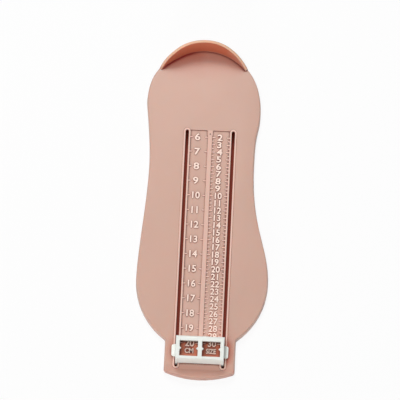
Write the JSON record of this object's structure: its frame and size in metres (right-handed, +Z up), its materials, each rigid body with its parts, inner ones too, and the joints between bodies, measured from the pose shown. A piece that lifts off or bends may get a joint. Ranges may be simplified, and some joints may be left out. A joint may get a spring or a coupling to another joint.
{
  "type": "foot measuring gauge",
  "caption": "Foot-shaped measuring plate with a curved heel wall, a sunken scale between long slots, and a windowed slider that is pushed up to the toes.",
  "frame": {"origin": "on the surface that the gauge stands on, below the middle of its outer box", "axes": "+Z up, +Y along the scale towards the heel wall, +X across it to the right when the heel wall is at the far end"},
  "size_m": [0.087, 0.2262, 0.0215],
  "materials": {
    "pink_plastic": "satin moulded plastic, dusty pink",
    "white_plastic": "smooth moulded plastic, white"
  },
  "bodies": {
    "plate": {"base_plate": "pink_plastic"},
    "toe_slider": {"slider": "white_plastic"}
  },
  "joints": [
    {"name": "toe_slide", "type": "slide", "parent": "plate", "child": "toe_slider", "axis": [0, 1, 0], "range_m": [-0.0014, 0.1414]}
  ]
}
